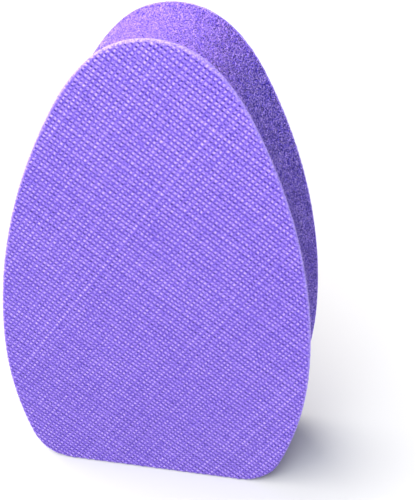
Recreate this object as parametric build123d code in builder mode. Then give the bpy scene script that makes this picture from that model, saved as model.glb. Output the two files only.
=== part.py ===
from build123d import *
import os
from math import atan2, cos, degrees, radians, sin

# Egg-shaped hand-held grooming sponge that stands on a flat foot.
# A block of open-cell foam is faced on both sides with a woven scrub facing, and each
# facing is held by a thin film of hot-melt adhesive. Millimetres, +Z up. The origin is
# the middle of the foot, and the front facing looks towards -Y.

# ---- outline of the egg, seen from the front ----
height = 152.0  # foot to crown
width = 99.0  # across the widest place
widest_height = 48.0  # height of the widest place above the foot
crown_radius = 25.5  # rounded top
crown_half_angle = 44.0  # degrees of crown on each side of the middle
shoulder_radius = 53.5  # between the crown and the long side
foot_tuck = 20.5  # how far each end of the flat foot lies in from the widest place
corner_radius = 14.5  # rounded bottom corners

# ---- thicknesses, front to rear ----
foam_thickness = 35.0
facing_thickness = 1.4
film_thickness = 0.25

# ---- details of the edges ----
waist_depth = 1.9  # how far the die-cut foam wall dishes in at mid thickness
facing_edge_radius = 1.0  # pressed, rounded rim of each facing
film_setback = 0.6  # the adhesive film stops short of the rim
foot_stock = 2.0  # left under the foam's foot until it is cut off flat

# ---- places that follow from the sizes above ----
foam_face = foam_thickness / 2  # distance of the foam's faces from the middle plane
film_face = foam_face + film_thickness


def side_arcs(inset):
    """Radii and sweeps in degrees of the tangent arcs from the crown down to the foot.

    The side arc and the lower arc meet at the widest place, where the outline is upright.
    The side arc's radius makes it touch the shoulder arc, and the lower arc's radius makes
    it touch the corner arc. An inset brings the crown and sides in and leaves the foot down.
    """
    half_width = width / 2 - inset
    crown = crown_radius - inset
    shoulder = shoulder_radius - inset
    turn = radians(crown_half_angle)
    shoulder_x = -(shoulder - crown) * sin(turn)
    shoulder_z = height - inset - crown - (shoulder - crown) * cos(turn)

    across = half_width - shoulder_x
    up = widest_height - shoulder_z
    side = (across**2 + up**2 - shoulder**2) / (2 * (across - shoulder))
    side_x = half_width - side

    foot = half_width - foot_tuck
    across = half_width - foot
    up = widest_height - corner_radius
    lower = (across**2 + up**2 - corner_radius**2) / (2 * (across - corner_radius))
    lower_x = half_width - lower

    side_start = degrees(atan2(shoulder_x - side_x, shoulder_z - widest_height))
    corner_start = degrees(atan2(foot - lower_x, corner_radius - widest_height))
    return [
        (crown, crown_half_angle),
        (shoulder, side_start - crown_half_angle),
        (side, 90 - side_start),
        (lower, corner_start - 90),
        (corner_radius, 180 - corner_start),
    ]


def egg(distance, inset=0.0, setback=0.0, spare=0.0):
    """Egg face parallel to the XZ plane, at this distance in front of the middle plane.

    The inset leaves the foot where it is, the setback moves the whole edge inwards, and
    spare is a depth of stock left on under the foot, to be cut off flat afterwards.
    """
    with BuildSketch(Plane.XZ.offset(distance)) as face:
        with BuildLine():
            point = Vector(0, height - inset)
            heading = Vector(1, 0)
            for radius, sweep in side_arcs(inset):
                arc = JernArc(start=point, tangent=heading, radius=radius, arc_size=-sweep)
                point = arc @ 1
                heading = arc % 1
            if spare > 0:
                Polyline(point, (point.X, -spare), (0, -spare))
            else:
                Line(point, (0, 0))
            mirror(about=Plane.YZ)
        make_face()
        if setback > 0:
            offset(amount=-setback)
    return face.sketch


def scrub_face(side):
    """Closed slab of woven facing with its outer edge rounded, side 1 front or -1 rear."""
    with BuildPart() as facing:
        extrude(egg(side * film_face), amount=side * facing_thickness)
        outside = facing.faces().sort_by(Axis.Y)[0 if side > 0 else -1]
        fillet(outside.edges(), radius=facing_edge_radius)
    return facing


def bond_film(side):
    """Thin sheet of adhesive between the foam and one facing, set back from the rim."""
    with BuildPart() as film:
        extrude(egg(side * foam_face, setback=film_setback), amount=side * film_thickness)
    return film


# ---- foam core: full outline at both faces, dished in between, cut flat at the foot ----
with BuildPart() as foam_core:
    front_section = egg(foam_face, spare=foot_stock)
    waist_section = egg(0, inset=waist_depth, spare=foot_stock)
    rear_section = egg(-foam_face, spare=foot_stock)
    loft([front_section, waist_section, rear_section])
    split(bisect_by=Plane.XY)
foam_core.part.label = "foam_core"

# ---- facings and the films under them ----
front_scrub_face = scrub_face(1)
front_scrub_face.part.label = "front_scrub_face"

rear_scrub_face = scrub_face(-1)
rear_scrub_face.part.label = "rear_scrub_face"

front_bond_film = bond_film(1)
front_bond_film.part.label = "front_bond_film"

rear_bond_film = bond_film(-1)
rear_bond_film.part.label = "rear_bond_film"

os.makedirs("parts", exist_ok=True)
for piece in (foam_core, front_scrub_face, rear_scrub_face, front_bond_film, rear_bond_film):
    export_step(piece.part, f"parts/{piece.part.label}.step")

print(f"flat foot {width - 2 * foot_tuck:.1f} mm wide")
for radius, sweep in side_arcs(0):
    print(f"arc of radius {radius:.1f} mm through {sweep:.1f} degrees")
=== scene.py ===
# %% [markdown]
# # A grooming sponge: foam block with woven scrub facings
#
# The real object is a hand-sized block of open-cell foam, cut to an egg shape with a flat
# foot. A coarse woven facing is bonded to its front and its rear, and the cutting die has
# pinched the facing's edge into a smooth rim and left the foam wall slightly hollow.
# This lesson builds it around an imported CAD model, which gives every size. The first cell loads that
# model.

import bpy
import numpy as np
from mathutils import Matrix, Vector


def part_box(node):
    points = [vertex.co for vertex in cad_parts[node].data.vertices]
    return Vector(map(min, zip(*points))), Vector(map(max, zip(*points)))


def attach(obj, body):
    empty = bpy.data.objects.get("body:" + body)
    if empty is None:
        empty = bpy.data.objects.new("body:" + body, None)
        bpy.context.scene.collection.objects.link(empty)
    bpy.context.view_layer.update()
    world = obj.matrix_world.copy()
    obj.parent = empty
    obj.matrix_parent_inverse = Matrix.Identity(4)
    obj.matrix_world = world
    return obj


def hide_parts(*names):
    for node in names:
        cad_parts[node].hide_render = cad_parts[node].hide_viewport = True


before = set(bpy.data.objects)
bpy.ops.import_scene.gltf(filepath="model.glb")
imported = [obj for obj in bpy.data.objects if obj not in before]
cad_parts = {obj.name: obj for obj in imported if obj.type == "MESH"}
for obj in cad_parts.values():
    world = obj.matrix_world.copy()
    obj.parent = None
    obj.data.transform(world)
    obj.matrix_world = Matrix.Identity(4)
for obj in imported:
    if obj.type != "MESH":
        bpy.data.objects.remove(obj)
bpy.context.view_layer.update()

# %% [markdown]
# ## Sizes
#
# The height, the width and the layers' thicknesses are read from the CAD pieces, so that
# the visual pieces can't drift away from them. Only what a box can't tell is repeated
# here: the radii of the egg's arcs, the hollow of the wall and the edge of the facing.

# %% Sizes of the block
MM = 0.001
foam_low, foam_high = (np.array(corner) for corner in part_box("foam_core"))
facing_low, facing_high = (np.array(corner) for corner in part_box("front_scrub_face"))
HEIGHT = foam_high[2]
HALF_WIDTH = foam_high[0]
FOAM_FACE = foam_high[1]
FILM_FACE = -facing_high[1]
OUTER_FACE = -facing_low[1]

WIDEST_HEIGHT = 48 * MM
CROWN_RADIUS = 25.5 * MM
CROWN_HALF_ANGLE = np.radians(44)
SHOULDER_RADIUS = 53.5 * MM
FOOT_TUCK = 20.5 * MM
CORNER_RADIUS = 14.5 * MM
WAIST_DEPTH = 1.9 * MM
print(f"block {2e3 * HALF_WIDTH:.1f} x {2e3 * OUTER_FACE:.1f} x {1e3 * HEIGHT:.1f} mm")

# %% [markdown]
# ## The egg's outline
#
# Every piece follows the same outline: five arcs that run smoothly into each other from
# the crown down to the flat foot, and the same again mirrored. Working it out as a
# formula of the distance along the edge lets one function serve the foam, the rims and
# the facings, and it also returns the outward direction, which the rims are swept along.


# %% Outline of the egg
def outline_arcs(inset):
    """Centres, radii and angles of the five arcs, for an array of insets.

    The angle is turned clockwise from straight up. The side arc's radius is the one that
    touches the shoulder arc: with a and b the offsets between their centres' known parts
    and r the shoulder radius, it is (a*a + b*b - r*r) / 2(a - r). The lower arc is found
    in the same way from the corner arc. An inset brings the sides and crown in, and leaves
    the foot down.
    """
    inset = np.atleast_1d(np.asarray(inset, float))
    half_width = HALF_WIDTH - inset
    crown = CROWN_RADIUS - inset
    shoulder = SHOULDER_RADIUS - inset
    crown_z = HEIGHT - CROWN_RADIUS + 0 * inset
    shoulder_x = -(shoulder - crown) * np.sin(CROWN_HALF_ANGLE)
    shoulder_z = crown_z - (shoulder - crown) * np.cos(CROWN_HALF_ANGLE)
    across, up = half_width - shoulder_x, WIDEST_HEIGHT - shoulder_z
    side = (across**2 + up**2 - shoulder**2) / (2 * (across - shoulder))
    side_x = half_width - side

    foot = half_width - FOOT_TUCK
    up = WIDEST_HEIGHT - CORNER_RADIUS
    lower = (FOOT_TUCK**2 + up**2 - CORNER_RADIUS**2) / (2 * (FOOT_TUCK - CORNER_RADIUS))
    lower_x = half_width - lower
    corner = CORNER_RADIUS + 0 * inset

    side_start = np.arctan2(shoulder_x - side_x, shoulder_z - WIDEST_HEIGHT)
    corner_start = np.arctan2(foot - lower_x, CORNER_RADIUS - WIDEST_HEIGHT)
    level, same = WIDEST_HEIGHT + 0 * inset, 0 * inset
    centre_x = np.stack([same, shoulder_x, side_x, lower_x, foot])
    centre_z = np.stack([crown_z, shoulder_z, level, level, corner])
    radius = np.stack([crown, shoulder, side, lower + same, corner])
    turns = [same, CROWN_HALF_ANGLE + same, side_start, np.pi / 2 + same, corner_start, np.pi + same]
    return centre_x, centre_z, radius, np.stack(turns), foot


def arc_lengths():
    """Distance along the edge from the crown to the end of each arc and of the half foot."""
    _, _, radius, turns, foot = outline_arcs(0.0)
    arcs = radius[:, 0] * np.diff(turns[:, 0])
    return np.concatenate([[0.0], np.cumsum(np.append(arcs, foot[0]))])


STATIONS = arc_lengths()
AROUND = 2 * STATIONS[-1]


print(f"edge {AROUND / MM:.1f} mm round, flat foot {2e3 * (HALF_WIDTH - FOOT_TUCK):.1f} mm wide")

# %% [markdown]
# ## Points along the edge
#
# A knife that follows the real block's edge passes every point of it in turn. This cell
# does the same: it turns a distance along the edge into a point and an outward direction.
# Only half of the egg is worked out, and the other half is its mirror image.


# %% Points on the edge
def egg_edge(distance, inset=0.0):
    """Points and outward directions (x, z, nx, nz) on the egg's edge.

    The distance runs clockwise from the crown, and its second half is the first half
    mirrored. On an arc of centre c and radius r, the point at turn t is c + r(sin t, cos t)
    and its outward direction is (sin t, cos t). On the foot the outward direction is down.
    """
    distance = np.asarray(distance, float) % AROUND
    mirrored = distance > AROUND / 2
    along = np.where(mirrored, AROUND - distance, distance)
    inset = np.broadcast_to(inset, along.shape)
    centre_x, centre_z, radius, turns, foot = outline_arcs(inset.ravel())
    flat = along.ravel()
    arc = np.clip(np.searchsorted(STATIONS, flat, side="right") - 1, 0, 5)
    share = (flat - STATIONS[arc]) / (STATIONS[arc + 1] - STATIONS[arc])
    on_foot = arc == 5
    which = np.minimum(arc, 4)
    column = np.arange(flat.size)
    turn = turns[which, column] + share * (turns[which + 1, column] - turns[which, column])
    turn = np.where(on_foot, np.pi, turn)
    x = centre_x[which, column] + radius[which, column] * np.sin(turn)
    z = centre_z[which, column] + radius[which, column] * np.cos(turn)
    x = np.where(on_foot, foot * (1 - share), x)
    z = np.where(on_foot, 0.0, z)
    sign = np.where(mirrored.ravel(), -1.0, 1.0)
    parts = sign * x, z, sign * np.sin(turn), np.cos(turn)
    return tuple(part.reshape(along.shape) for part in parts)


_, end_heights, _, _ = egg_edge([0.0, AROUND / 2])
print(f"crown {end_heights[0] / MM:.1f} mm and foot {end_heights[1] / MM:.1f} mm above the floor")

# %% [markdown]
# ## How far in from the edge
#
# The facing needs the opposite answer as well: for a point on the face, which place on the
# edge is nearest, and how deep inside does the point lie? A search over every edge point
# would be slow, so a rough guess is made first and is then improved in a few steps.

# %% Nearest place on the edge
GUESS_PLACES = 4001
SLIDES = 6
SLIDING_STRIP = 6 * MM


def nearest_edge(x, z):
    """Distance along the edge of the nearest edge point, and the depth inside it.

    A first guess comes from the compass direction about the middle of the block. Near the
    edge it is then slid along the edge by how far it misses, until the two directions meet.
    """
    middle = HEIGHT / 2
    table = np.linspace(0, AROUND, GUESS_PLACES)
    edge_x, edge_z, _, _ = egg_edge(table)
    bearing = np.unwrap(np.arctan2(edge_x, edge_z - middle))
    place = np.interp(np.arctan2(x, z - middle) % (2 * np.pi), bearing, table)
    for _ in range(SLIDES):
        edge_x, edge_z, out_x, out_z = egg_edge(place)
        miss = (x - edge_x) * out_z - (z - edge_z) * out_x
        depth = (edge_x - x) * out_x + (edge_z - z) * out_z
        place = place + np.where(np.abs(depth) < SLIDING_STRIP, miss, 0)
    edge_x, edge_z, out_x, out_z = egg_edge(place)
    return place % AROUND, (edge_x - x) * out_x + (edge_z - z) * out_z


_, test_depth = nearest_edge(np.array([HALF_WIDTH - 3 * MM]), np.array([WIDEST_HEIGHT]))
print(f"a point 3 mm in from the widest place measures {test_depth[0] / MM:.2f} mm in")

# %% [markdown]
# ## From arrays to a mesh
#
# Each surface is worked out as numpy arrays: rows of points, and rows of faces that
# number those points. These helpers number the faces of a grid, hand the arrays to Blender
# in one go, and store any value per point as an attribute, which a material can read.


# %% Mesh helpers
def grid_faces(rows, columns, closed=True, start=0):
    """Quads between neighbouring rows of a rows x columns grid, wrapped round if closed."""
    row = np.arange(rows - 1)[:, None]
    column = np.arange(columns if closed else columns - 1)[None, :]
    following = (column + 1) % columns
    corners = [
        row * columns + column,
        row * columns + following,
        (row + 1) * columns + following,
        (row + 1) * columns + column,
    ]
    spread_out = [np.broadcast_to(corner, corners[0].shape) for corner in corners]
    return start + np.stack(spread_out, -1).reshape(-1, 4)


def make_piece(name, points, quads, caps=(), values=None, flip=False):
    """A smooth mesh object from points, quads and a few many-sided caps.

    Blender keeps a face as a run in one long list of corners, so the faces are laid end to
    end, and each face's start is the sum of the sizes before it. Flip turns them round.
    """
    faces = [np.asarray(quads)[:, ::-1] if flip else np.asarray(quads)]
    rings = [list(cap)[::-1] if flip else list(cap) for cap in caps]
    corner_list = np.concatenate([faces[0].ravel()] + [np.array(ring) for ring in rings])
    sizes = np.concatenate([np.full(len(faces[0]), 4), [len(ring) for ring in rings]]).astype(int)
    starts = np.concatenate([[0], np.cumsum(sizes)[:-1]])
    mesh = bpy.data.meshes.new(name)
    mesh.vertices.add(len(points))
    mesh.vertices.foreach_set("co", np.asarray(points, np.float32).ravel())
    mesh.loops.add(len(corner_list))
    mesh.loops.foreach_set("vertex_index", corner_list.astype(np.int32))
    mesh.polygons.add(len(sizes))
    mesh.polygons.foreach_set("loop_start", starts.astype(np.int32))
    mesh.polygons.foreach_set("use_smooth", np.ones(len(sizes), bool))
    mesh.update(calc_edges=True)
    for label, value in (values or {}).items():
        layer = mesh.attributes.new(label, "FLOAT", "POINT")
        layer.data.foreach_set("value", np.asarray(value, np.float32).ravel())
    mesh.validate()
    piece = bpy.data.objects.new(name, mesh)
    bpy.context.scene.collection.objects.link(piece)
    triangles = len(faces[0]) * 2 + sum(len(ring) - 2 for ring in rings)
    print(f"{name}: {len(points)} points, {triangles} triangles")
    return piece


print("a closed band four columns round has", len(grid_faces(2, 4)), "faces")

# %% [markdown]
# ## The foam core
#
# Open-cell foam is a froth of bubbles that a blade has cut through, so the wall shows
# small pits of all depths with thin walls between them. A displacement texture would be
# lost in an export, so the pits are put into the mesh: bubble centres are scattered over
# the wall, and each point sinks by how far it is from the walls between bubbles.


# %% Bubbles of the foam
BUBBLE_SIZE = 0.68 * MM
BUBBLE_COLUMNS = int(round(AROUND / BUBBLE_SIZE))
BUBBLE_ROWS = int(np.ceil(2 * FOAM_FACE / BUBBLE_SIZE))
SHALLOWEST_PIT = 0.25
WALL_SLOPE = 0.45


def bubbles(around, across, columns, rows, seed):
    """Pit depth from 0 on the walls between bubbles to 1 inside a deep one.

    The plane is cut into unit squares with one bubble centre in each, and the square
    count wraps round the edge. With f1 and f2 the distances to the nearest and second
    nearest centre, f2 - f1 is zero on a wall between two bubbles. The depth is that
    difference, made steep, times the nearest bubble's own random depth.
    """
    scatter = np.random.default_rng(seed)
    centres = scatter.random((columns, rows + 4, 2))
    depths = scatter.uniform(SHALLOWEST_PIT, 1.0, (columns, rows + 4))
    base_a, base_b = np.floor(around).astype(int), np.floor(across).astype(int)
    nearest = np.full(around.shape, 9.0)
    second = nearest.copy()
    deep = np.zeros(around.shape)
    for step_a in (-1, 0, 1):
        for step_b in (-1, 0, 1):
            square_a, square_b = base_a + step_a, base_b + step_b
            key = square_a % columns, (square_b + 2) % (rows + 4)
            gap_a = square_a + centres[key][..., 0] - around
            gap_b = square_b + centres[key][..., 1] - across
            gap = np.hypot(gap_a, gap_b)
            closer = gap < nearest
            second = np.where(closer, nearest, np.minimum(second, gap))
            deep = np.where(closer, depths[key], deep)
            nearest = np.where(closer, gap, nearest)
    return deep * np.clip((second - nearest) / WALL_SLOPE, 0, 1)


print(f"{BUBBLE_COLUMNS} x {BUBBLE_ROWS} = {BUBBLE_COLUMNS * BUBBLE_ROWS} bubbles in the wall")

# %% [markdown]
# ## The foam's wall
#
# The real block is punched out of a thick sheet, and the foam springs back to leave its
# wall slightly hollow. A grid round the edge and through the block gives that shape, and
# it is fine enough for several points to fall inside each bubble. The two faces lie
# hidden under the facings, so one flat cap closes each of them.

# %% Foam block
FOAM_COLUMNS = 2000
FOAM_ROWS = 165
PIT_DEPTH = 0.8 * MM


def foam_block():
    """The foam's wall as a grid of distance along the edge by depth through the block.

    At depth y the outline is inset by waist * (1 - (y / half thickness)^2), and each point
    then sinks along the inward direction by its pit. Flat caps close the two faces.
    """
    distance = np.linspace(0, AROUND, FOAM_COLUMNS, endpoint=False)[None, :]
    through = np.linspace(-1, 1, FOAM_ROWS)[:, None]
    distance, through = np.broadcast_arrays(distance, through)
    x, z, out_x, out_z = egg_edge(distance, WAIST_DEPTH * (1 - through**2))
    y = through * FOAM_FACE
    around = distance / AROUND * BUBBLE_COLUMNS
    across = (through + 1) * FOAM_FACE / BUBBLE_SIZE
    pit = bubbles(around, across, BUBBLE_COLUMNS, BUBBLE_ROWS, seed=11)
    sink = PIT_DEPTH * pit
    points = np.stack([x - out_x * sink, y, z - out_z * sink], -1).reshape(-1, 3)
    last = (FOAM_ROWS - 1) * FOAM_COLUMNS
    front = np.arange(FOAM_COLUMNS)[::-1]
    rear = last + np.arange(FOAM_COLUMNS)
    quads = grid_faces(FOAM_ROWS, FOAM_COLUMNS)
    return make_piece("foam_block", points, quads, [front, rear], {"pit": pit})


foam = foam_block()

# %% [markdown]
# ## The scrub facing
#
# The facing is woven, and its threads cross in a square lattice that is turned on the
# face. Each crossing stands up as a rounded nub. The grooves between threads of one set
# are deep, and those between the other set are shallow. Threads are never evenly spaced,
# so each one gets its own place and its own thickness, and a few stand proud and look
# pale from one side of the face to the other. The mesh lines follow the threads, because
# a grid that ignored them would show false stripes.

# %% Threads of the weave
THREAD_PITCH = 1.353 * MM
THREAD_TURN = np.radians(55.8)
REACH = int(np.ceil(0.6 * HEIGHT / THREAD_PITCH)) + 2
PALE_POWER = 6


def thread_set(places, jitter, spread, alternate, seed):
    """Phase, place, strength and paleness at each mesh line across one set of threads.

    Thread i lies at i + jitter, and its strength is 1 + spread * random, plus or minus
    alternate on every other thread. Its paleness is a random number to a high power, so
    that few threads are pale, less the average of its two neighbours'. The mesh lines
    between two threads are spaced evenly.
    """
    scatter = np.random.default_rng(seed)
    numbers = np.arange(-REACH, REACH + 1)
    centres = numbers + jitter * scatter.uniform(-1, 1, numbers.size)
    strength = 1 + spread * scatter.uniform(-1, 1, numbers.size) + alternate * (-1.0) ** numbers
    pale = scatter.uniform(0, 1, numbers.size) ** PALE_POWER
    pale = pale - (np.roll(pale, 1) + np.roll(pale, -1)) / 2
    phase = np.arange(-REACH * places, REACH * places + 1) / places
    place = np.interp(phase, numbers, centres) * THREAD_PITCH
    return phase, place, np.interp(phase, numbers, strength), np.interp(phase, numbers, pale)


RIB_PHASE, RIB_PLACE, RIB_STRENGTH, RIB_PALE = thread_set(
    places=4, jitter=0.15, spread=0.22, alternate=0.12, seed=3
)
ROW_PHASE, ROW_PLACE, ROW_STRENGTH, ROW_PALE = thread_set(
    places=3, jitter=0.12, spread=0.25, alternate=0.0, seed=4
)
print(f"threads {THREAD_PITCH / MM:.2f} mm apart, {RIB_PHASE.size} x {ROW_PHASE.size} mesh lines")

# %% [markdown]
# ## The height of the weave
#
# One set of threads makes ribs that run on over the face, and the threads that cross them
# raise a bead at each crossing. Two cosines, one for each set, give that relief at any
# point. No two nubs of a real weave are the same size, so each draws its own.

# %% Relief of the weave
NUB_HEIGHT = 0.36 * MM
RIB_SHARE = 0.68
BEAD_SHARE = 0.32
BRIDGE = 0.3
NUB_SIZES = np.random.default_rng(5).uniform(0.8, 1.12, (2 * REACH + 3, 2 * REACH + 3))


def weave(x, z):
    """Height of the weave at x and z, from about 0 to 1, then phases, strength, paleness.

    Across the ribs the phase is u and along them v, with whole numbers on the threads.
    The rib is (1 + cos 2 pi u) / 2 and the bead on it (1 + cos 2 pi v) / 2. The height is
    strength * rib * (rib share + bead share * size * bead), and in the groove a low bridge
    of (1 - rib) * (1 - bead) joins the ribs between beads.
    """
    across = x * np.cos(THREAD_TURN) + (z - HEIGHT / 2) * np.sin(THREAD_TURN)
    along = (z - HEIGHT / 2) * np.cos(THREAD_TURN) - x * np.sin(THREAD_TURN)
    u = np.interp(across, RIB_PLACE, RIB_PHASE)
    v = np.interp(along, ROW_PLACE, ROW_PHASE)
    strength = np.interp(across, RIB_PLACE, RIB_STRENGTH) * np.interp(along, ROW_PLACE, ROW_STRENGTH)
    pale = np.interp(across, RIB_PLACE, RIB_PALE) + np.interp(along, ROW_PLACE, ROW_PALE)
    rib = 0.5 + 0.5 * np.cos(2 * np.pi * u)
    bead = 0.5 + 0.5 * np.cos(2 * np.pi * v)
    size = NUB_SIZES[np.round(u).astype(int) + REACH, np.round(v).astype(int) + REACH]
    raised = strength * rib * (RIB_SHARE + BEAD_SHARE * size * bead)
    height = raised + (1 - rib) * BRIDGE * (1 - bead)
    return height, np.stack([u, v, strength, pale])


def lattice():
    """The x and z of every crossing of the mesh lines, which follow the threads.

    Each pair of distances across and along the ribs is turned by the threads' angle about
    the middle of the face.
    """
    across, along = np.meshgrid(RIB_PLACE, ROW_PLACE, indexing="ij")
    x = across * np.cos(THREAD_TURN) - along * np.sin(THREAD_TURN)
    z = across * np.sin(THREAD_TURN) + along * np.cos(THREAD_TURN) + HEIGHT / 2
    return x, z


print(f"nubs {NUB_SIZES.min():.2f} to {NUB_SIZES.max():.2f} of their usual size")

# %% [markdown]
# ## The outside of the facing
#
# The cutting die presses the weave flat in a narrow strip along the edge and rounds it
# over. So the relief fades as it nears the edge, and the last strip turns down in a
# quarter circle. A soft step from one level to the other avoids a visible crease.

# %% Outside of the facing
RIM_ROUND = 0.95 * MM
RIM_SINK = 0.1 * MM
RIM_RELIEF = 0.35
NUB_FADE = 0.9 * MM


def surface(x, z, margin):
    """Level of the facing's outside at x and z, this far in from its edge.

    With f the soft step 3t^2 - 2t^3 of the margin over the fading strip, the relief below
    the nubs' tops is multiplied by rim relief + (1 - rim relief) * f, and the strip sinks
    by (1 - f) of the rim's sink. The quarter circle drops it by r - sqrt(r^2 - d^2), where
    d is how far the point lies inside the rounded strip of radius r.
    """
    height, thread = weave(x, z)
    fade = np.clip(margin / NUB_FADE, 0, 1)
    fade = fade * fade * (3 - 2 * fade)
    bend = np.clip(1 - margin / RIM_ROUND, 0, 1)
    drop = RIM_ROUND * (1 - np.sqrt(1 - bend**2))
    relief = NUB_HEIGHT * (1 - height) * (RIM_RELIEF + (1 - RIM_RELIEF) * fade)
    level = OUTER_FACE - relief - RIM_SINK * (1 - fade) - drop
    return level, np.concatenate([thread, 1 - fade + 0 * thread[:1]])


crown_level, _ = surface(np.array([0.0]), np.array([HEIGHT]), np.array([0.0]))
print(f"the facing comes down to {crown_level[0] / MM:.2f} mm from the middle plane at its edge")

# %% [markdown]
# ## The rim
#
# The rounded rim is a profile carried round the edge. It begins beside the weave, bends
# over to the thin cut edge, and ends with a lip that closes over the glue film onto the
# foam, so that no gap shows between the layers. Nubs that meet the edge push it out a
# little, which gives the slightly scalloped outline of a cut weave.

# %% Rim of the facing
RIM_RINGS = 7
SCALLOP = 0.12 * MM
LEVEL_NUB = 0.3
BACK_MARGINS = np.array([0.0, 0.04, 0.5, 0.55]) * MM
BACK_LEVELS = np.array([FOAM_FACE + 0.06 * MM, FOAM_FACE, FOAM_FACE, FILM_FACE])


def rim(along):
    """Rings of points round the rim, from beside the weave to the edge of the glued back.

    The first rings carry the weave over the rounded edge, at margins of
    round * (1 - sin bend), and are pushed out by scallop * sin bend * (height - level nub),
    though never below the floor. The last rings follow the thin edge and the lip.
    """
    bend = np.linspace(0, np.pi / 2, RIM_RINGS)[1:]
    margin = RIM_ROUND * (1 - np.sin(bend))[:, None]
    edge_x, edge_z, out_x, out_z = egg_edge(np.broadcast_to(along, (margin.size, along.size)))
    x, z = edge_x - margin * out_x, edge_z - margin * out_z
    level, thread = surface(x, z, margin)
    height, _ = weave(x, z)
    push = SCALLOP * np.sin(bend)[:, None] * (height - LEVEL_NUB)
    top = np.stack([x + out_x * push, level, np.maximum(z + out_z * push, 0)], -1)

    margin = BACK_MARGINS[:, None]
    edge_x, edge_z, out_x, out_z = egg_edge(np.broadcast_to(along, (margin.size, along.size)))
    x, z = edge_x - margin * out_x, edge_z - margin * out_z
    back = np.stack([x, np.broadcast_to(BACK_LEVELS[:, None], x.shape), z], -1)
    _, back_thread = surface(x, z, np.zeros(x.shape))
    return np.concatenate([top, back]), np.concatenate([thread, back_thread], axis=1)


print(f"{RIM_RINGS - 1} rings over the rounded edge and {BACK_MARGINS.size} round the back")

# %% [markdown]
# ## One closed facing
#
# The weave's lattice runs out at the rim without matching it. The squares that still touch
# the face are kept, and their points that fall outside are moved onto the rim's inner
# line. The rim starts from those same points, in order round the edge, and a flat cap
# closes the glued back. The rear facing is the same shape on the other side.


# %% Facings
def facing(name, side):
    """One closed facing, side -1 at the front and 1 at the rear.

    A lattice square is kept when any of its corners lies deeper than the rounded strip. A
    kept corner outside is moved to edge point - round * outward direction.
    """
    x, z = lattice()
    place, depth = nearest_edge(x, z)
    inside = depth > RIM_ROUND
    cell_used = inside[:-1, :-1] | inside[1:, :-1] | inside[:-1, 1:] | inside[1:, 1:]
    used = np.zeros(inside.shape, bool)
    for step_u in (0, 1):
        for step_v in (0, 1):
            last_u, last_v = used.shape[0] - 1 + step_u, used.shape[1] - 1 + step_v
            used[step_u:last_u, step_v:last_v] |= cell_used
    outer = used & ~inside

    edge_x, edge_z, out_x, out_z = egg_edge(place)
    x = np.where(outer, edge_x - RIM_ROUND * out_x, x)
    z = np.where(outer, edge_z - RIM_ROUND * out_z, z)
    y, thread = surface(x, z, np.where(outer, RIM_ROUND, depth))

    number = np.full(used.shape, -1)
    number[used] = np.arange(used.sum())
    corners = number[:-1, :-1], number[1:, :-1], number[1:, 1:], number[:-1, 1:]
    quads = np.stack([corner[cell_used] for corner in corners], -1)

    order = np.argsort(place[outer])
    ring = number[outer][order]
    rim_points, rim_thread = rim(place[outer][order])
    count = len(ring)
    start = used.sum()
    outside = start + np.arange(count)
    first = np.stack([ring, np.roll(ring, -1), np.roll(outside, -1), outside], -1)
    others = grid_faces(len(rim_points), count, start=start)
    points = np.concatenate([np.stack([x[used], y[used], z[used]], -1), rim_points.reshape(-1, 3)])
    quads = np.concatenate([quads, first, others])
    cap = start + (len(rim_points) - 1) * count + np.arange(count)
    thread = np.concatenate([thread[:, used], rim_thread.reshape(5, -1)], axis=1)
    values = dict(zip(("across", "along", "strength", "pale", "pressed"), thread))
    points[:, 1] *= side
    return make_piece(name, points, quads, [cap], values, flip=side > 0)


front_facing = facing("front_facing", -1)
rear_facing = facing("rear_facing", 1)

# %% [markdown]
# ## Materials
#
# The foam, the facing and the glue film are dyed nearly the same violet, so what tells
# them apart is how they take the light. Each material is a small tree of nodes. These
# helpers make one node or one step of arithmetic each, so that a finish reads as a recipe.


# %% Node helpers
def new_material(name, roughness, sheen):
    """A material with its shader and output, and the node tree to add to."""
    material = bpy.data.materials.new(name)
    material.use_nodes = True
    tree = material.node_tree
    shader = tree.nodes["Principled BSDF"]
    shader.inputs["Roughness"].default_value = roughness
    shader.inputs["Sheen Weight"].default_value = sheen
    shader.inputs["Sheen Roughness"].default_value = 0.5
    shader.inputs["Specular IOR Level"].default_value = 0.25
    return material, tree, shader


def node(tree, kind, **settings):
    """A node of that kind, with inputs or properties set by name."""
    made = tree.nodes.new(kind)
    for key, value in settings.items():
        label = key.replace("_", " ").title()
        if label in made.inputs:
            made.inputs[label].default_value = value
        else:
            setattr(made, key, value)
    return made


def stored(tree, name):
    """The output of a value that was stored on the mesh's points."""
    return node(tree, "ShaderNodeAttribute", attribute_name=name).outputs["Fac"]


def ramp(tree, source, stops):
    """A colour ramp from (position, colour) stops."""
    made = tree.nodes.new("ShaderNodeValToRGB")
    tree.links.new(source, made.inputs["Fac"])
    elements = made.color_ramp.elements
    while len(elements) < len(stops):
        elements.new(0.5)
    for element, (position, shade) in zip(elements, stops):
        element.position = position
        element.color = (*shade, 1)
    return made.outputs["Color"]


def noise(tree, place, scale, detail):
    """The output of a soft random pattern, with this many lumps to the metre."""
    made = node(tree, "ShaderNodeTexNoise", scale=scale, detail=detail)
    tree.links.new(place, made.inputs["Vector"])
    return made.outputs["Fac"]


def mixed(tree, kind, amount, first, second):
    """Two colours put together by that kind of mix, by a fixed or a linked amount."""
    made = tree.nodes.new("ShaderNodeMix")
    made.data_type = "RGBA"
    made.blend_type = kind
    for number, value in ((0, amount), (6, first), (7, second)):
        if hasattr(value, "is_output"):
            tree.links.new(value, made.inputs[number])
        else:
            made.inputs[number].default_value = value if number == 0 else (*value, 1)
    return made.outputs[2]


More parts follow.
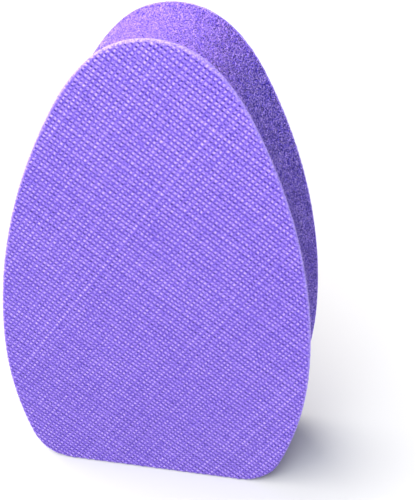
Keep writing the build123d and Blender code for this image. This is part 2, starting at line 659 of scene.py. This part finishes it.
def maths(tree, operation, *values):
    """One step of arithmetic on numbers or on the outputs of other nodes."""
    made = tree.nodes.new("ShaderNodeMath")
    made.operation = operation
    for number, value in enumerate(values):
        if hasattr(value, "is_output"):
            tree.links.new(value, made.inputs[number])
        else:
            made.inputs[number].default_value = value
    return made.outputs[0]


def smooth(tree, value, low, high):
    """A soft step from 0 at low to 1 at high, which is 3t^2 - 2t^3 in between."""
    made = tree.nodes.new("ShaderNodeMapRange")
    made.interpolation_type = "SMOOTHSTEP"
    tree.links.new(value, made.inputs["Value"])
    made.inputs["From Min"].default_value = low
    made.inputs["From Max"].default_value = high
    return made.outputs["Result"]


def colour(red, green, blue):
    """A colour as seen on a screen, from 0 to 255, turned into the light it stands for."""
    value = np.array([red, green, blue]) / 255
    return tuple(np.where(value <= 0.04045, value / 12.92, ((value + 0.055) / 1.055) ** 2.4))


WHITE = (1, 1, 1)
print("middle violet as light:", [round(float(part), 3) for part in colour(136, 110, 216)])

# %% [markdown]
# ## The foam's finish
#
# The pits in the mesh are the large bubbles, and a cell pattern adds the small pores inside them. Both
# are painted darker inside and paler on the thin walls between them. This is partly the foam's own
# grain and partly painted shade in the pores. Dye never takes quite evenly, so a fine grain and some
# broad clouds are laid over it. Towards the crown the colour is mixed into a paler, pinker violet with
# fainter pores, which is painted light where the top of the block catches the lamp.

# %% Foam material
# Pore shades are partly the foam's grain and partly painted shade inside the pores. Pit shades are
# painted shade, darker the deeper the mesh's pit.
PORE_GRAIN_AND_PAINTED_SHADE = [(0.25, colour(20, 8, 110)), (0.42, colour(102, 80, 220)), (0.58, colour(204, 181, 255))]
PAINTED_PIT_SHADE = [(0.0, WHITE), (1.0, colour(176, 166, 236))]
GRAIN_SHADES = [(0.4, colour(146, 134, 228)), (0.54, WHITE)]
FOAM_CLOUD_SHADES = [(0.3, colour(235, 230, 245)), (0.7, WHITE)]
# Painted light on the crown: a paler, pinker violet, mixed in from the lower height to the upper one.
CROWN_PAINTED_LIGHT_VIOLET = colour(176, 136, 226)
CROWN_LIGHT_FROM = 0.13
CROWN_LIGHT_FULLY = 0.149
CROWN_LIGHT_AMOUNT = 0.62


def foam_material():
    """Pores with painted shade, mixed into a paler violet towards the crown as painted light, times
    painted pit shade, grain and clouds.
    """
    material, tree, shader = new_material("violet_foam", roughness=0.95, sheen=0.3)
    place = node(tree, "ShaderNodeTexCoord").outputs["Object"]
    pores = node(tree, "ShaderNodeTexVoronoi", scale=1700.0)
    tree.links.new(place, pores.inputs["Vector"])
    shade = ramp(tree, pores.outputs["Distance"], PORE_GRAIN_AND_PAINTED_SHADE)
    parts = tree.nodes.new("ShaderNodeSeparateXYZ")
    tree.links.new(place, parts.inputs[0])
    # Painted light: towards the crown the pores fade into the paler violet.
    crown = smooth(tree, parts.outputs["Z"], CROWN_LIGHT_FROM, CROWN_LIGHT_FULLY)
    crown_light = maths(tree, "MULTIPLY", crown, CROWN_LIGHT_AMOUNT)
    shade = mixed(tree, "MIX", crown_light, shade, CROWN_PAINTED_LIGHT_VIOLET)
    grain = noise(tree, place, scale=1900.0, detail=2.0)
    clouds = noise(tree, place, scale=60.0, detail=2.0)
    # The pit tint is painted shade in the mesh's pits, and grain and clouds are uneven dye.
    tints = ((stored(tree, "pit"), PAINTED_PIT_SHADE), (grain, GRAIN_SHADES), (clouds, FOAM_CLOUD_SHADES))
    for source, stops in tints:
        shade = mixed(tree, "MULTIPLY", 1.0, shade, ramp(tree, source, stops))
    tree.links.new(shade, shader.inputs["Base Color"])
    bump = node(tree, "ShaderNodeBump", strength=0.9, distance=0.0007)
    tree.links.new(pores.outputs["Distance"], bump.inputs["Height"])
    tree.links.new(bump.outputs["Normal"], shader.inputs["Normal"])
    shader.inputs["Sheen Tint"].default_value = (*colour(190, 168, 255), 1)
    shader.inputs["Specular IOR Level"].default_value = 0.05
    return material


foam_finish = foam_material()
foam.data.materials.append(foam_finish)
print("foam finish:", foam_finish.name)

# %% [markdown]
# ## The pattern of the weave
#
# The mesh carries the shape of the weave, but its finest light and dark would need far more points. The
# two phases that were stored on the points are smooth, so the shader can work out the same cosines
# again at any sharpness. It paints a highlight on the nubs and along the rows, painted shade in the
# short gap beside each nub, and a little paler tone all along a proud thread.

# %% Pattern of the weave
# Shares of the weave's tone: rib, row and nub are painted highlight, and the gap is painted shade.
TONE_BASE = 0.345
RIB_HIGHLIGHT = 0.03
ROW_HIGHLIGHT = 0.28
NUB_HIGHLIGHT = 0.16
GAP_SHADE = 0.5
TONE_PALE = 0.085


def wave(tree, phase):
    """The nodes for (1 + cos 2 pi phase) / 2, which is 1 on a thread and 0 between two."""
    turned = maths(tree, "MULTIPLY", phase, 2 * np.pi)
    return maths(tree, "MULTIPLY_ADD", maths(tree, "COSINE", turned), 0.5, 0.5)


def chance(tree, first, second, low, high):
    """A random number from low to high for each pair of whole numbers."""
    pair = tree.nodes.new("ShaderNodeCombineXYZ")
    tree.links.new(first, pair.inputs[0])
    tree.links.new(second, pair.inputs[1])
    draw = node(tree, "ShaderNodeTexWhiteNoise", noise_dimensions="2D")
    tree.links.new(pair.outputs[0], draw.inputs["Vector"])
    return maths(tree, "MULTIPLY_ADD", draw.outputs["Value"], high - low, low)


def weave_tone_and_painted_light(tree):
    """The weave's tone: a painted highlight on the nubs, and painted shade in a short gap beside each.

    The tone is the base, plus rib, row, nub and paleness times their shares, less the gap times its
    share. The rib, row and nub shares are painted highlight, and the gap's share is painted shade. A
    nub is rib * bead * strength, and a gap is the bead in the groove.
    """
    across, along = stored(tree, "across"), stored(tree, "along")
    rib, bead = wave(tree, across), wave(tree, along)
    rib_number, row_number = maths(tree, "ROUND", across), maths(tree, "ROUND", along)
    groove_number = maths(tree, "FLOOR", across)
    strength = stored(tree, "strength")
    # A painted highlight on each nub, and painted shade in the short gap beside it.
    nub = maths(tree, "MULTIPLY", maths(tree, "MULTIPLY", rib, bead), strength)
    nub = maths(tree, "MULTIPLY", nub, chance(tree, rib_number, row_number, 0.8, 1.15))
    groove = smooth(tree, rib, 0.5, 0.1)
    gap = maths(tree, "MULTIPLY", groove, smooth(tree, bead, 0.2, 0.8))
    gap = maths(tree, "MULTIPLY", gap, chance(tree, groove_number, row_number, 0.75, 1.15))
    tone = maths(tree, "MULTIPLY_ADD", rib, RIB_HIGHLIGHT, TONE_BASE)
    tone = maths(tree, "MULTIPLY_ADD", bead, ROW_HIGHLIGHT, tone)
    tone = maths(tree, "MULTIPLY_ADD", nub, NUB_HIGHLIGHT, tone)
    tone = maths(tree, "MULTIPLY_ADD", gap, -GAP_SHADE, tone)
    return maths(tree, "MULTIPLY_ADD", stored(tree, "pale"), TONE_PALE, tone)


brightest = TONE_BASE + RIB_HIGHLIGHT + ROW_HIGHLIGHT + NUB_HIGHLIGHT
print(f"tone {TONE_BASE - GAP_SHADE + ROW_HIGHLIGHT:.2f} in a gap and {brightest:.2f} on a nub")

# %% [markdown]
# ## The facing's finish
#
# The facing is spun from hard, slightly shiny thread. The weave's tone, with its painted highlight and
# shade, picks the violet, and the pressed rim, where the threads are flattened together, is one smooth
# pale shade.
# Fine noise stands for the fibres in each thread, and it roughens the shine through a
# small bump, because fibres that thin would be wasted as geometry.

# %% Facing material
# From painted shade in the gaps, through the middle violet, to a painted highlight on the nubs.
PAINTED_WEAVE_SHADES = [(0.0, colour(44, 16, 118)), (0.45, colour(136, 110, 216)), (1.0, colour(209, 188, 248))]
FIBRE_SHADES = [(0.36, colour(165, 152, 215)), (0.6, WHITE)]
WEAVE_CLOUD_SHADES = [(0.3, colour(244, 241, 250)), (0.7, WHITE)]
PRESSED_VIOLET = colour(178, 158, 246)
PRESSED_AMOUNT = 0.8


def facing_material():
    """The weave's tone with its painted highlight and shade as a colour, paler where pressed, times
    fibres and clouds.
    """
    material, tree, shader = new_material("violet_scrub_weave", roughness=0.55, sheen=0.2)
    place = node(tree, "ShaderNodeTexCoord").outputs["Object"]
    fibre = noise(tree, place, scale=2600.0, detail=2.0)
    clouds = noise(tree, place, scale=45.0, detail=3.0)
    tone = weave_tone_and_painted_light(tree)
    pressed = maths(tree, "MULTIPLY", stored(tree, "pressed"), PRESSED_AMOUNT)
    shade = mixed(tree, "MIX", pressed, ramp(tree, tone, PAINTED_WEAVE_SHADES), PRESSED_VIOLET)
    for source, stops in ((fibre, FIBRE_SHADES), (clouds, WEAVE_CLOUD_SHADES)):
        shade = mixed(tree, "MULTIPLY", 1.0, shade, ramp(tree, source, stops))
    tree.links.new(shade, shader.inputs["Base Color"])
    bump = node(tree, "ShaderNodeBump", strength=0.4, distance=0.0002)
    tree.links.new(maths(tree, "MULTIPLY_ADD", fibre, 0.5, tone), bump.inputs["Height"])
    tree.links.new(bump.outputs["Normal"], shader.inputs["Normal"])
    shader.inputs["Sheen Tint"].default_value = (*colour(220, 205, 255), 1)
    return material


facing_finish = facing_material()
front_facing.data.materials.append(facing_finish)
rear_facing.data.materials.append(facing_finish)
print("facing finish:", facing_finish.name)

# %% [markdown]
# ## The glue film's finish
#
# The hot-melt film lies hidden between foam and facing. Its CAD solids are shown as they
# are, and the film is set unevenly by the press, so it is given a soft mottle.

# %% Film material
MOTTLE_SHADES = [(0.3, colour(120, 96, 210)), (0.7, colour(165, 145, 235))]


def film_material():
    """A soft noise that runs between two violets."""
    material, tree, shader = new_material("glue_film", roughness=0.4, sheen=0.0)
    place = node(tree, "ShaderNodeTexCoord").outputs["Object"]
    shade = ramp(tree, noise(tree, place, scale=400.0, detail=2.0), MOTTLE_SHADES)
    tree.links.new(shade, shader.inputs["Base Color"])
    return material


film_finish = film_material()
for film in ("front_bond_film", "rear_bond_film"):
    for place_in_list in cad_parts[film].material_slots:
        place_in_list.material = film_finish
print("film finish:", film_finish.name)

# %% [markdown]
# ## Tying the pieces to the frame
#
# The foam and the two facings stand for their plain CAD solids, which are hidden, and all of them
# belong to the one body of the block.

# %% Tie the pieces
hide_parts("foam_core")
for piece, cad_node in ((front_facing, "front_scrub_face"), (rear_facing, "rear_scrub_face")):
    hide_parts(cad_node)
for piece in (foam, front_facing, rear_facing):
    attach(piece, "root")

# %% [markdown]
# ## The floor
#
# The block stands on pale paper that shows a soft shadow close by and fades to white
# further off, so that no edge of it is ever seen. It is a stage piece, which isn't part of
# the object. Light that bounces from so large a floor would wash out the block's shaded
# wall, so the floor throws none onto it, and a small panel under Lights takes its place.

# %% Floor
FLOOR_REACH = 6.0
NEAR_PAPER = (0.505, 0.525, 0.535)
FAR_PAPER = (0.68, 0.68, 0.68)
FADE_FROM = 0.25
FADE_TO = 0.5

floor_corners = [(FLOOR_REACH * x, FLOOR_REACH * y, 0) for x, y in ((-1, -1), (1, -1), (1, 1), (-1, 1))]
floor_mesh = bpy.data.meshes.new("floor")
floor_mesh.from_pydata(floor_corners, [], [(0, 1, 2, 3)])
floor = bpy.data.objects.new("floor", floor_mesh)
bpy.context.scene.collection.objects.link(floor)
floor_finish, floor_tree, floor_shader = new_material("white_floor", roughness=0.9, sheen=0.0)
floor_distance = node(floor_tree, "ShaderNodeVectorMath", operation="LENGTH")
floor_tree.links.new(node(floor_tree, "ShaderNodeTexCoord").outputs["Object"], floor_distance.inputs[0])
far = smooth(floor_tree, floor_distance.outputs["Value"], FADE_FROM, FADE_TO)
floor_shade = mixed(floor_tree, "MIX", far, NEAR_PAPER, FAR_PAPER)
floor_tree.links.new(floor_shade, floor_shader.inputs["Base Color"])
floor_mesh.materials.append(floor_finish)
floor.visible_diffuse = False
print(f"floor {2 * FLOOR_REACH:.0f} m square")

# %% [markdown]
# ## Lights
#
# The main light is a very wide, slightly warm sun high on the left. Its width makes the
# shadow on the right soft, and leaves the right wall dark. A panel in front lifts the
# front facing, and a faint one lying on the floor stands in for light bounced up onto the
# right wall. The room behind is white to the camera only, and lights the block weakly.

# %% Lights
ROOM_TINT = (0.98, 0.95, 1.05)
ROOM_GLOW = 0.46
ROOM_SEEN = 0.8

world = bpy.data.worlds.new("white_room")
bpy.context.scene.world = world
world.use_nodes = True
room = world.node_tree
background = room.nodes["Background"]
background.inputs["Color"].default_value = (*ROOM_TINT, 1)
seen = room.nodes.new("ShaderNodeLightPath").outputs["Is Camera Ray"]
room.links.new(maths(room, "MULTIPLY_ADD", seen, ROOM_SEEN, ROOM_GLOW), background.inputs["Strength"])


def place_lamp(name, lamp, towards):
    """An object that holds the lamp and shines away from the direction it is turned to."""
    holder = bpy.data.objects.new(name, lamp)
    bpy.context.scene.collection.objects.link(holder)
    holder.rotation_mode = "QUATERNION"
    holder.rotation_quaternion = Vector(towards).to_track_quat("Z", "Y")
    return holder


def soft_sun(name, towards, strength, angle, tint):
    """A sun seen in that direction, as wide in the sky as its angle in degrees."""
    lamp = bpy.data.lights.new(name, "SUN")
    lamp.energy = strength
    lamp.color = tint
    lamp.angle = np.radians(angle)
    return place_lamp(name, lamp, towards)


def soft_panel(name, place, aim, size, power):
    """A square glowing panel at that place, turned to face the aim."""
    lamp = bpy.data.lights.new(name, "AREA")
    lamp.size = size
    lamp.energy = power
    holder = place_lamp(name, lamp, Vector(place) - Vector(aim))
    holder.location = place
    holder.visible_camera = False
    return holder


lights = [
    soft_sun("key_light", (-0.76, 0.03, 0.65), strength=6.9, angle=92, tint=(1.0, 0.94, 0.89)),
    soft_panel("front_fill", (0.005, -0.29, 0.35), (0, 0, HEIGHT / 2), size=0.22, power=1.75),
    soft_panel("floor_glow", (0.13, 0.0, 0.002), (0.13, 0.0, 1.0), size=0.12, power=0.095),
]
print("lights:", ", ".join(light.name for light in lights))

# %% [markdown]
# ## Camera
#
# The camera looks down at the block from in front and a little to its right, from so close
# that the crown leans away. A lens of medium length at that distance shows the top and the
# right wall past the face. The shift slides the picture without turning the camera.

# %% Camera
LENS_MM = 66.1
SENSOR_MM = 36.0
AZIMUTH = np.radians(7.513)
ELEVATION = np.radians(30.103)
ROLL = np.radians(2.062)
EYE = (0.05174, -0.24734, 0.22854)
SHIFT = (-0.0345, -0.0265)

camera_data = bpy.data.cameras.new("camera")
camera_data.lens = LENS_MM
camera_data.sensor_width = SENSOR_MM
camera_data.shift_x, camera_data.shift_y = SHIFT
camera_data.clip_start = 0.01
camera = bpy.data.objects.new("camera", camera_data)
bpy.context.scene.collection.objects.link(camera)
bpy.context.scene.camera = camera
turn = Matrix.Rotation(AZIMUTH, 4, "Z") @ Matrix.Rotation(np.pi / 2 - ELEVATION, 4, "X")
camera.matrix_world = Matrix.Translation(EYE) @ turn @ Matrix.Rotation(ROLL, 4, "Z")

view = bpy.context.scene.view_settings
view.view_transform = "Standard"
view.look = "None"
print(f"camera {(Vector(EYE) - Vector((0, 0, HEIGHT / 2))).length:.3f} m from the middle of the block")

# %% [markdown]
# ## Finish
#
# The last cell brings the scene up to date.

# %% Finish
bpy.context.view_layer.update()
